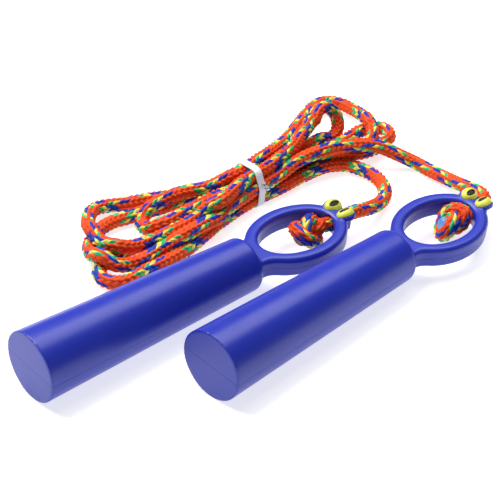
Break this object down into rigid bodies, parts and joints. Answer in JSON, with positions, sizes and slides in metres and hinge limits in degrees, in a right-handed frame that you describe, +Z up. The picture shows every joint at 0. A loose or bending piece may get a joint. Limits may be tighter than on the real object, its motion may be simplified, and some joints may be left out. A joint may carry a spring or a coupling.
{
  "type": "jump rope",
  "caption": "Toy jump rope: two tapered plastic handles with oval finger rings and frog eyes, and a braided rope knotted inside the rings and tied in a hank.",
  "frame": {"origin": "on the surface it lies on, at the middle of the two handles' footprint", "axes": "+Z up, +X along the handles from their flat ends to their finger rings, +Y towards the hank"},
  "size_m": [0.2522, 0.1432, 0.0299],
  "materials": {
    "handle_blue": "satin injection-moulded",
    "eye_yellow": "satin moulded",
    "pupil_black": "glossy",
    "rope_braid": "braided multifilament with coloured tracers",
    "rope_end": "heat-sealed and wrapped",
    "tie_white": "coated ribbon"
  },
  "bodies": {
    "rope": {"rope_hank": "rope_braid", "rope_lead_left": "rope_braid", "rope_lead_right": "rope_braid", "left_knot": "rope_braid", "right_knot": "rope_braid", "left_rope_end": "rope_end", "right_rope_end": "rope_end", "twist_tie": "tie_white"},
    "left_handle": {"left_upper_shell": "handle_blue", "left_lower_shell": "handle_blue", "left_far_eye": "eye_yellow", "left_near_eye": "eye_yellow", "left_far_pupil": "pupil_black", "left_near_pupil": "pupil_black"},
    "right_handle": {"right_upper_shell": "handle_blue", "right_lower_shell": "handle_blue", "right_far_eye": "eye_yellow", "right_near_eye": "eye_yellow", "right_far_pupil": "pupil_black", "right_near_pupil": "pupil_black"}
  },
  "joints": [
    {"name": "left_handle_spin", "type": "hinge", "parent": "rope", "child": "left_handle", "pos_m": [0.05346, 0.01776, 0.0104], "axis": [0.999, -0.034, -0.0282], "continuous": true},
    {"name": "right_handle_spin", "type": "hinge", "parent": "rope", "child": "right_handle", "pos_m": [0.10416, -0.01776, 0.0104], "axis": [0.999, 0.034, -0.0282], "continuous": true}
  ]
}
